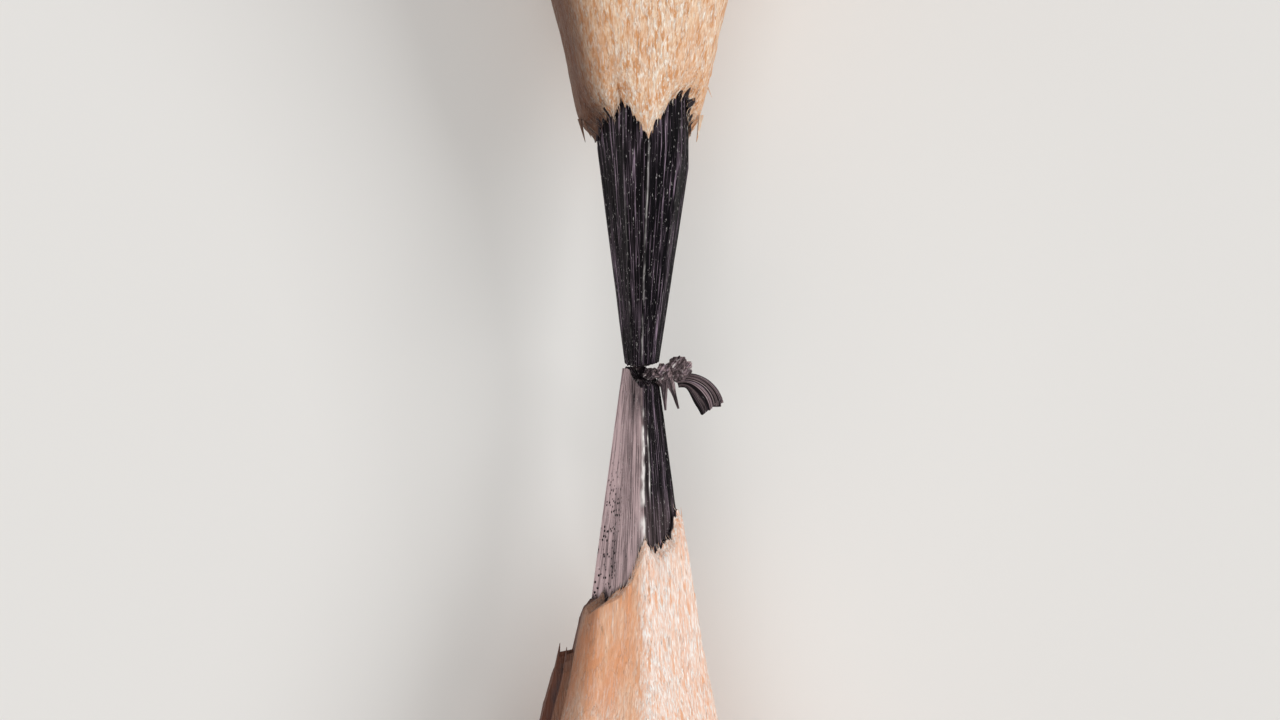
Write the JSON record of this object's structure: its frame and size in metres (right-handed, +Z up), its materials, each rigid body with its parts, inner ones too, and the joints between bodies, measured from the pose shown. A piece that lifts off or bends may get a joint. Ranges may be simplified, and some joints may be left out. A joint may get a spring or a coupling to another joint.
{
  "type": "snapped pencil",
  "caption": "Hexagonal wooden pencil snapped where it was whittled thin: its halves lie end to end, their bare graphite points meeting at a crumbled break.",
  "frame": {"origin": "centre of the pencil's underside, below the break", "axes": "+X along the pencil from the near half's rear end to the far half's rear end, +Z up, the pencil lying on one flat of its barrel"},
  "size_m": [0.1, 0.008, 0.007],
  "materials": {
    "cedar": "matte",
    "graphite": "satin"
  },
  "bodies": {
    "root": {"near_half_top_slat": "cedar", "near_half_bottom_slat": "cedar", "near_half_lead": "graphite", "far_half_top_slat": "cedar", "far_half_bottom_slat": "cedar", "far_half_lead": "graphite", "inner_crumb": "graphite", "middle_crumb": "graphite", "outer_crumb": "graphite", "curled_flake": "graphite", "hanging_sliver_1": "graphite", "hanging_sliver_2": "graphite"}
  },
  "joints": []
}
